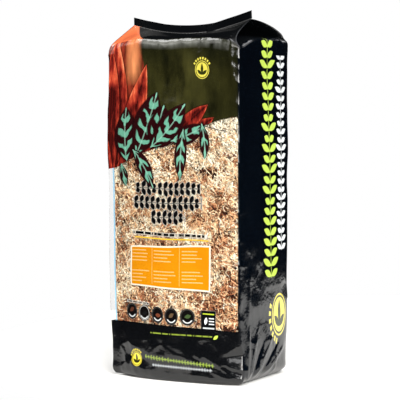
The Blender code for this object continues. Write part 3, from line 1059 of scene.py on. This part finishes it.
def side_film(vine_ink):
    """The same film's side: black, with a vine in yellow-green and a paler one beside it."""
    material, tree = new_material("printed polyethylene, side")
    art = Print(tree, "010205")
    art.lay("03070D", art.noise(60.0, 2.0))
    vine = garland(art.v, art.u - art.v * -0.0396, 114.0, 386.5, 152.6, 11.8, 17.5, 3.9, 0.42, 5.0)
    art.lay(vine_ink, vine.inside())
    vine = garland(art.v, art.u - art.v * -0.0212, 144.0, 366.0, 178.5, 9.4, 13.5, 2.9, 0.4, 31.0)
    art.lay("CFD4D6", vine.inside())
    sprig_badge(art, (169.4, 70.5), (19.5, 24.5), "BFB550", "2E3212", (150.0, 262.0))
    finish_gloss_film(art)
    return material


def plain_film(film_black):
    """The unprinted black of the back, the roof and the base."""
    material, tree = new_material("black polyethylene film")
    art = Print(tree, "040506")
    art.lay(film_black, art.noise(60.0, 2.0))
    # The welded lines of the lap seam down the back.
    art.lay("24282D", (abs(abs(art.u - BACK_SEAM_U) - 5.2) - 0.4).inside())
    finish_gloss_film(art)
    return material


# Garlands in the place of a title: start, end, level, leaf reach and seed.
TITLE_GARLANDS = [
    (-48.5, 32.5, 218.6, 8.17, 1.0), (-51.0, 34.5, 202.2, 8.36, 7.0), (-29.0, 13.5, 186.0, 7.98, 13.0),
]
# The orange panel's three columns: start, end and seed of their bars.
PANEL_COLUMNS = [(-54.0, -31.0, 14.0), (-25.5, 3.5, 35.0), (10.0, 36.0, 63.0)]
PANEL_FOOT = 107.0
BAR_PITCH = 3.9
# Five black discs with a leaf in each: middle, half width, half height and the leaf's colour.
DISCS = [
    ((-55.5, 76.6), (7.3, 9.2), "4E2C20"), ((-39.0, 75.5), (7.4, 9.4), "121314"),
    ((-21.6, 74.7), (7.6, 9.4), "6A3A28"), ((-3.6, 74.0), (8.5, 9.8), "584632"),
    ((16.6, 74.0), (9.1, 9.5), "3A4C2C"),
]
PALE_RING_DISC = 1


def lay_panel(art, panel_ink):
    """The orange panel: a pale rim, three columns, and bars in the place of words."""
    u, v = art.u, art.v
    low_edge = u * -0.033 + 104.8
    high_edge = u * 0.038 + 154.1
    panel = (abs(u + 5.6 - (v - 130.0) * 0.02) - 50.6).most(low_edge - v).most(v - high_edge)
    body = (panel + 1.7).inside()
    art.lay("DDD2BE", panel.inside(), hides=panel.inside())
    art.lay(paint(art.tree, "BE7008", panel_ink, art.noise(45.0)), body)
    rules = (abs(u + 27.8) - 0.35).least(abs(u - 7.0) - 0.35).most(low_edge + 4.0 - v)
    art.lay("D8A860", rules.inside(0.4) * body * 0.7)
    word = art.noise(1.3, 0.0, 0.5, (1.0, 0.4))
    for start, end, seed in PANEL_COLUMNS:
        along, count, vary = stepped(v - u * 0.01, PANEL_FOOT, BAR_PITCH, seed)
        length = (1.0 - vary * 0.45) * (end - start)
        bar = (abs(along * BAR_PITCH - 1.9) - 0.55).most(start - u).most(u - length - start)
        # Two groups of lines.
        group = (abs(count - 2.5) - 1.6).least(abs(count - 8.5) - 1.6)
        art.lay("DDBE84", bar.inside(0.5) * group.inside(0.1) * body * (word * 1.2).clamped())


def lay_discs(art):
    """The row of black discs, each with a leaf and a pale arc."""
    for number, (place, half, leaf_ink) in enumerate(DISCS):
        tall = half[1]
        away = oval_distance(art.u, art.v, place, half)
        disc = (away - tall).inside()
        art.lay("0B0909", disc, hides=disc)
        ring = (abs(away - 0.86 * tall) - 0.3).inside(0.4)
        art.lay("C8C6C0", ring * (0.8 if number == PALE_RING_DISC else 0.06))
        wide_u = (art.u - place[0]) * (tall / half[0])
        above = art.v - place[1]
        leaf = leaf_shape(wide_u, above, (-3.6, -0.2 - number % 2), 32 - 18 * (number % 3), 8.6, 4.6)[0]
        art.lay(leaf_ink, leaf.inside() * 0.9)
        smile = (abs(away - 0.68 * tall) - 0.6).most(above + 0.36 * tall)
        art.lay("D4D8DA", smile.inside(0.5) * 0.85)


def lay_tag(art):
    """A black tag that stands on the band, with a drop and pale bars."""
    u, v = art.u, art.v
    tag = box_shape(u, v, 33.0, 51.3, 58.0, 82.6).inside()
    art.lay("08090A", tag, hides=tag)
    art.lay("EDF0F0", leaf_shape(u, v, (38.4, 66.6), 80, 8.4, 3.4)[0].inside(0.4))
    bars = (abs(u - 46.0) - 3.2).most(abs((v - 66.0).math("FLOORED_MODULO", 3.2) - 1.6) - 0.55)
    art.lay("D5D9DA", bars.most(v - 76.0).most(66.2 - v).inside(0.4))
    art.lay("C9CED0", box_shape(u, v, 35.4, 49.2, 62.0, 63.6).inside(0.5) * 0.8)
    art.lay("B9CE3C", box_shape(u, v, 35.4, 49.2, 78.2, 79.4).inside(0.5) * 0.8)


def window_print(art, panel_ink):
    """Lays the inks of the clear film. The ground is the pale halo of its title."""
    u, v = art.u, art.v
    title = dashes(u, v - u * -0.02, -52.0, 41.0, 166.4, 3.0, 1.5, 3.0)
    for start, end, level, reach, seed in TITLE_GARLANDS:
        title = title.least(garland(u, v, start, end, level, 7.0, reach, 2.75, 0.4, seed))
    ink = title.inside()
    art.lay("070708", ink, hides=ink.most((title - 0.6).inside(1.2) * 0.7))
    line = box_shape(u, v - u * -0.012, -50.0, 43.0, 160.6, 162.3).inside()
    art.lay("D3A61C", line, hides=line)
    lay_panel(art, panel_ink)
    lay_discs(art)
    note = dashes(u, v - (u * -0.07 + 83.9), -61.5, -33.0, 0.0, 1.6, 1.3, 41.0)
    art.lay("CFCBC4", (note - 0.7).inside(1.2))
    art.lay("1A1A1C", note.inside(0.4), hides=(note - 0.6).inside(1.2) * 0.75)
    # Along the corner fold's inner line a blue-grey line of painted shade, where the fold starts; it
    # hides most of the clear film there.
    fold_shade_line = (abs(u + 80.7) - 1.3).inside(1.2)
    art.lay("6FA3BF", fold_shade_line, hides=fold_shade_line * 0.8)
    lay_tag(art)
    lay_striped(art)


def window_film_material(panel_ink):
    """Clear cast polypropylene: invisible but for its glints, with the ink printed on it."""
    material, tree = new_material("clear polypropylene, printed")
    art = Print(tree, "D8D4CA", clear=True)
    window_print(art, panel_ink)
    bumps = film_bumps(art, 0.5)
    clear = add(tree, "BsdfTransparent", (0.985, 0.985, 0.98, 1.0))
    white = (1.0, 1.0, 1.0, 1.0)
    gloss = add(tree, "BsdfAnisotropic", named={"Color": white, "Roughness": 0.09, "Normal": bumps})
    # A thin film mirrors alike from both sides, so this is Schlick's curve and not Fresnel's.
    edge_on = Value(tree, add(tree, "LayerWeight", 0.5, bumps, out="Facing"))
    mirror = edge_on.math("POWER", 5.0) * 0.7 + 0.045
    shader = add(tree, "MixShader", mirror, clear, gloss)
    ink = add(tree, "BsdfPrincipled", named={
        "Base Color": art.colour, "Roughness": 0.16, "IOR": 1.5, "Normal": bumps})
    finish_material(tree, add(tree, "MixShader", art.cover, shader, ink))
    return material


def moss_material(pale, tan):
    """Dried sphagnum: dull cream to straw, with tan, rust and near-black strands; the darkest are
    partly painted shade.
    """
    material, tree = new_material("dried sphagnum, branches")
    place = add(tree, "UVMap", uv_map="strand")
    tone = Value(tree, add(tree, "SeparateXYZ", place))
    # Tiny overlapping leaves make each branch lighter and darker every millimetre or so.
    scales = noise(tree, add(tree, "TexCoord", out="Object"), 0.9 * MM, 2.0, 0.6)
    tint = add(tree, "ValToRGB", (tone + (scales - 0.5) * 0.42).clamped(), stops=(
        (0.0, "190A06"), (0.16, "5E2C1A"), (0.30, "A9633E"), (0.46, tan),
        (0.62, "F4D2A6"), (0.80, "FDEBCB"), (1.0, pale)))
    height = add(tree, "Bump", named={"Height": scales, "Strength": 0.5, "Distance": 0.0004})
    finish_material(tree, add(tree, "BsdfPrincipled", named={
        "Base Color": tint, "Roughness": 0.85, "IOR": 1.4, "Normal": height}))
    return material


def moss_bed_material():
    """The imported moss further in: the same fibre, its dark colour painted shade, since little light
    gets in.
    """
    material, tree = new_material("dried sphagnum, packed")
    place = add(tree, "TexCoord", out="Object")
    clumps = noise(tree, place, 6.0 * MM, 4.0, 0.65)
    fibres = noise(tree, place, 1.6 * MM, 3.0, 0.7)
    tint = add(tree, "ValToRGB", (clumps * 0.6 + fibres * 0.9 - 0.28).clamped(), stops=(
        (0.1, "120704"), (0.45, "34170C"), (0.7, "6B3920"), (1.0, "A9713F")))
    height = add(tree, "Bump", named={"Height": fibres + clumps, "Strength": 0.9, "Distance": 0.002})
    finish_material(tree, add(tree, "BsdfPrincipled", named={
        "Base Color": tint, "Roughness": 0.95, "Normal": height}))
    return material


# ---------------------------------------------------------------- operators


def colour_property(name, description, code):
    return bpy.props.FloatVectorProperty(
        name=name, description=description, default=linear(code),
        min=0.0, max=1.0, size=4, subtype="COLOR")


def range_property(name, description, default):
    return bpy.props.FloatVectorProperty(
        name=name, description=description, default=default, min=0.0001, size=2, unit="LENGTH")


class BagSettings(bpy.types.PropertyGroup):
    branches: bpy.props.IntProperty(
        name="Branches", description="Leafy moss branches behind the window", default=14400, min=0)
    stems: bpy.props.IntProperty(
        name="Stems", description="Long bare moss stems behind the window", default=1500, min=0)
    bed_depth: bpy.props.FloatProperty(
        name="Bed depth", description="How far the packed moss lies behind the film",
        default=0.0064, min=0.001, unit="LENGTH")
    branch_length: range_property("Branch length", "Shortest and longest leafy branch", (0.007, 0.016))
    branch_girth: range_property(
        "Branch half width", "Half width of the thinnest and the thickest branch", (0.00055, 0.0012))
    stem_length: range_property("Stem length", "Shortest and longest bare stem", (0.016, 0.034))
    moss_pale: colour_property("Pale moss", "Colour of the driest moss tips", "FFF8E4")
    moss_tan: colour_property("Tan moss", "Colour of the middle tones of the moss", "DBA477")
    film_black: colour_property("Film black", "Colour of the unprinted film", "0B0D10")
    vine_ink: colour_property("Vine ink", "Colour of the broad vine on the side", "A9C150")
    panel_ink: colour_property("Panel ink", "Colour of the panel on the window", "C4820C")


class MOSSBAG_OT_film(bpy.types.Operator):
    """Builds the printed film tube"""

    bl_idname = "mossbag.film"
    bl_label = "Printed film"

    def execute(self, context):
        settings = context.scene.moss_bag
        materials = [plain_film(settings.film_black), front_film(), side_film(settings.vine_ink)]

        def pick(rows, columns):
            face = FACE[(columns + 1) % COLUMNS]
            picked = np.where((columns <= FRONT_STEPS) | (columns >= COLUMNS - WRAP_STEPS), 1, 0)
            picked = np.where((face == 1) & (columns > FRONT_STEPS) & (rows < SHOULDER_ROW), 2, picked)
            return np.where((rows < BASE_ROWS) | (rows >= SEAL_ROW), 0, picked)

        piece = film_piece("film_tube", lambda r, c: ~window_cells(r, c), materials, pick)
        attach(piece, "root")
        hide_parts("bag_film")
        return {"FINISHED"}


class MOSSBAG_OT_window(bpy.types.Operator):
    """Builds the clear window film"""

    bl_idname = "mossbag.window"
    bl_label = "Window film"

    def execute(self, context):
        material = window_film_material(context.scene.moss_bag.panel_ink)
        piece = film_piece("film_window", window_cells, [material])
        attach(piece, "root")
        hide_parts("window_film")
        return {"FINISHED"}


# How high the middle of the moss stands over its rim.
BED_CROWN = 4.0


def moss_bed(depth):
    """The closed mass of packed moss inside the film."""
    points, normal = BODY
    rows = [points[row] - normal[row] * depth for row in range(BASE_ROWS + 3, SHOULDER_ROW - 4)]
    crown = rows[-1].mean(0) + (0.0, 0.0, BED_CROWN)
    for share in (0.85, 0.5, 0.1):
        rows.append(mix(crown, rows[-1], share))
    rows = np.array(rows)
    grid = np.arange(len(rows) * COLUMNS).reshape(-1, COLUMNS)
    quads, steps = tube_cells(*np.indices((len(rows) - 1, COLUMNS)).reshape(2, -1))
    bake_map = steps / (COLUMNS, len(rows)) * (1.0, 0.95) + (0.0, 0.05)
    floor, floor_map = ring_cap(grid[0], 0.0, 0.02)
    top, top_map = ring_cap(grid[-1], 0.025, 0.045)
    quads = np.concatenate([quads, floor[:, ::-1], top])
    bake_map = np.concatenate([bake_map, floor_map[:, ::-1], top_map])
    return rows.reshape(-1, 3), quads, {"OFBake": bake_map}


# Half widths along a leafy branch and along a bare stem, as shares of the widest.
LEAFY = [0.25, 1.0, 0.7, 1.05, 0.68, 0.9, 0.06]
BARE = [0.7, 1.0, 0.9, 1.0, 0.8, 0.9, 0.5]
BRANCH_LAYERS = 3


class MOSSBAG_OT_moss(bpy.types.Operator):
    """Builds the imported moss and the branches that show"""

    bl_idname = "mossbag.moss"
    bl_label = "Moss"

    def execute(self, context):
        settings = context.scene.moss_bag
        vertices, quads, maps = moss_bed(settings.bed_depth / MM)
        pieces = [make_piece("moss_bed", vertices, quads, maps, [moss_bed_material()])]
        material = moss_material(settings.moss_pale, settings.moss_tan)
        length = [reach / MM for reach in settings.branch_length]
        girth = [half / MM for half in settings.branch_girth]
        stem_length = [reach / MM for reach in settings.stem_length]
        for layer in range(BRANCH_LAYERS):
            strands = moss_strands(settings.branches // BRANCH_LAYERS, 100 + layer, length, girth,
                                   LEAFY, 2.2, (0.9, 6.2), (0.69, 0.19))
            pieces.append(make_piece(f"moss_branches_{layer + 1}", *strands, [material]))
        strands = moss_strands(settings.stems, 300, stem_length, (0.22, 0.42),
                               BARE, 1.2, (0.5, 3.5), (0.36, 0.22))
        pieces.append(make_piece("moss_stems", *strands, [material]))
        for piece in pieces:
            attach(piece, "root")
        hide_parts("moss_fill")
        return {"FINISHED"}


CAMERA_AZIMUTH = math.radians(25.0)
CAMERA_PITCH = math.radians(2.8)
CAMERA_PLACE = (0.788, -1.6876, 0.2944)
CAMERA_LENS = 144.0

# Soft lights seen by the film and the moss: plan angle and height in degrees, half width
# and softness in degrees, colour and strength.
LIGHTS = [
    (222.0, 50.0, 17.0, 12.0, "FFFDF8", 2.8),
    (240.0, 26.0, 6.0, 13.0, "FFFDF8", 1.8),
    (318.0, 42.0, 17.0, 9.0, "FFFBF4", 7.6),
    (311.0, 16.0, 11.0, 7.0, "FFFEFA", 18.0),
    (287.0, 12.0, 3.0, 3.0, "FFFFFF", 6.0),
    (20.0, 60.0, 20.0, 15.0, "FFFFFF", 1.6),
    (180.0, 64.0, 8.0, 8.0, "FFFFFF", 7.5),
    (80.0, 20.0, 6.0, 5.0, "FFFFFF", 2.0),
    (96.0, 56.0, 6.0, 5.0, "FFFFFF", 3.0),
]


def studio_world(scene):
    """White for the camera, and for all else a dim room with a few soft lights."""
    world = bpy.data.worlds.new("studio")
    scene.world = world
    world.use_nodes = True
    tree = world.node_tree
    tree.nodes.clear()
    direction = add(tree, "TexCoord", out="Generated")
    total = linear("131417")[:3]
    for plan, height, half, soft, code, strength in LIGHTS:
        plan = math.radians(plan)
        height = math.radians(height)
        flat = math.cos(height)
        aim = (math.cos(plan) * flat, math.sin(plan) * flat, math.sin(height))
        facing = add(tree, "VectorMath", direction, aim, operation="DOT_PRODUCT", out="Value")
        rim = math.cos(math.radians(half + soft))
        heart = math.cos(math.radians(half))
        glow = add(tree, "MapRange", facing, rim, heart, 0.0, strength, interpolation_type="SMOOTHSTEP")
        tint = add(tree, "VectorMath", linear(code)[:3], glow, operation="SCALE")
        total = add(tree, "VectorMath", total, tint, operation="ADD")
    camera_ray = add(tree, "LightPath", out="Is Camera Ray")
    seen = add(tree, "Background", (1.0, 1.0, 1.0, 1.0), 1.0)
    unseen = add(tree, "Background", total, 1.0)
    output = tree.nodes.new("ShaderNodeOutputWorld")
    tree.links.new(add(tree, "MixShader", camera_ray, unseen, seen), output.inputs["Surface"])


# The floor is a round board, in metres, whose edge the low film mirrors.
FLOOR_MIDDLE = (0.202, 0.33)
FLOOR_RADIUS = 0.62
FLOOR_TOP = -0.0006
FLOOR_STEPS = 96


def floor_mesh():
    turns = [step * 2.0 * math.pi / FLOOR_STEPS for step in range(FLOOR_STEPS)]
    rim = [(FLOOR_MIDDLE[0] + FLOOR_RADIUS * math.cos(turn),
            FLOOR_MIDDLE[1] + FLOOR_RADIUS * math.sin(turn), FLOOR_TOP) for turn in turns]
    mesh = bpy.data.meshes.new("floor")
    mesh.from_pydata(rim, [], [tuple(range(FLOOR_STEPS))])
    material, tree = new_material("white board, matt painted")
    grain = noise(tree, add(tree, "TexCoord", out="Object"), 2.0 * MM, 2.0)
    tint = paint(tree, "E6E6E6", "EEEEEE", grain)
    finish_material(tree, add(tree, "BsdfPrincipled", named={"Base Color": tint, "Roughness": 0.9}))
    mesh.materials.append(material)
    return mesh


class MOSSBAG_OT_stage(bpy.types.Operator):
    """Builds the floor, lights and camera"""

    bl_idname = "mossbag.stage"
    bl_label = "Stage"

    def execute(self, context):
        scene = context.scene
        camera = bpy.data.objects.new("camera", bpy.data.cameras.new("camera"))
        scene.collection.objects.link(camera)
        camera.location = CAMERA_PLACE
        camera.rotation_euler = (math.pi / 2 - CAMERA_PITCH, 0.0, CAMERA_AZIMUTH)
        camera.data.lens = CAMERA_LENS
        camera.data.sensor_width = 36.0
        scene.camera = camera
        scene.view_settings.view_transform = "Standard"
        floor = bpy.data.objects.new("floor", floor_mesh())
        scene.collection.objects.link(floor)
        studio_world(scene)
        return {"FINISHED"}


class MOSSBAG_PT_panel(bpy.types.Panel):
    bl_label = "Moss bag"
    bl_space_type = "VIEW_3D"
    bl_region_type = "UI"
    bl_category = "Moss bag"

    def draw(self, context):
        for operator in OPERATORS:
            self.layout.operator(operator.bl_idname)


OPERATORS = (MOSSBAG_OT_stage, MOSSBAG_OT_film, MOSSBAG_OT_window, MOSSBAG_OT_moss)
CLASSES = (BagSettings, *OPERATORS, MOSSBAG_PT_panel)


def register():
    for item in CLASSES:
        bpy.utils.register_class(item)
    bpy.types.Scene.moss_bag = bpy.props.PointerProperty(type=BagSettings)


def unregister():
    del bpy.types.Scene.moss_bag
    for item in reversed(CLASSES):
        bpy.utils.unregister_class(item)


def main():
    register()
    bpy.ops.mossbag.stage()
    bpy.ops.mossbag.film()
    bpy.ops.mossbag.window()
    bpy.ops.mossbag.moss()


if __name__ == "__main__":
    main()
